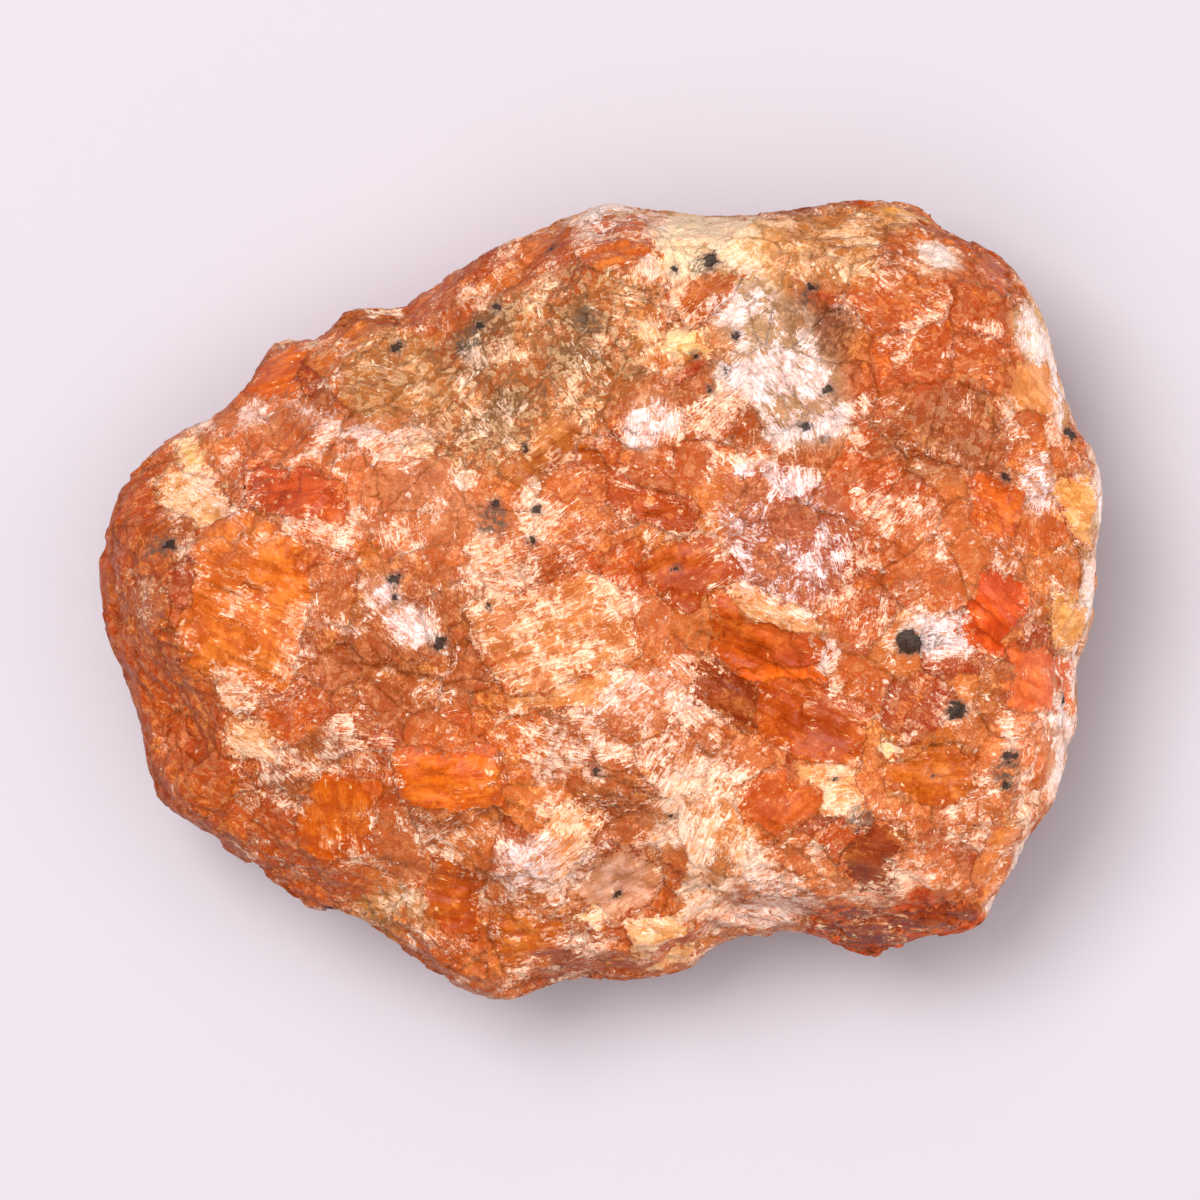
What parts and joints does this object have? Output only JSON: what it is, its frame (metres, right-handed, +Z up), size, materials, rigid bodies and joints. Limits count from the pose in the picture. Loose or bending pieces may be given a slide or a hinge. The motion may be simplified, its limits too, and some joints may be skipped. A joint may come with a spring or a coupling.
{
  "type": "rough orchid calcite",
  "caption": "Rough broken lump of orange and pale pink calcite with dark specks, lying on a small flat spot with its broad face up.",
  "frame": {"origin": "on the ground, under the middle of the stone", "axes": "+Z up, away from the flat spot; +X to the right along the stone's length, as seen from above; +Y to the back"},
  "size_m": [0.0702, 0.056, 0.029],
  "materials": {
    "calcite": "rough broken calcite, mottled orange, salmon and pale pink, with glossy cleavage faces and dark specks"
  },
  "bodies": {
    "root": {"calcite_stone": "calcite"}
  },
  "joints": []
}
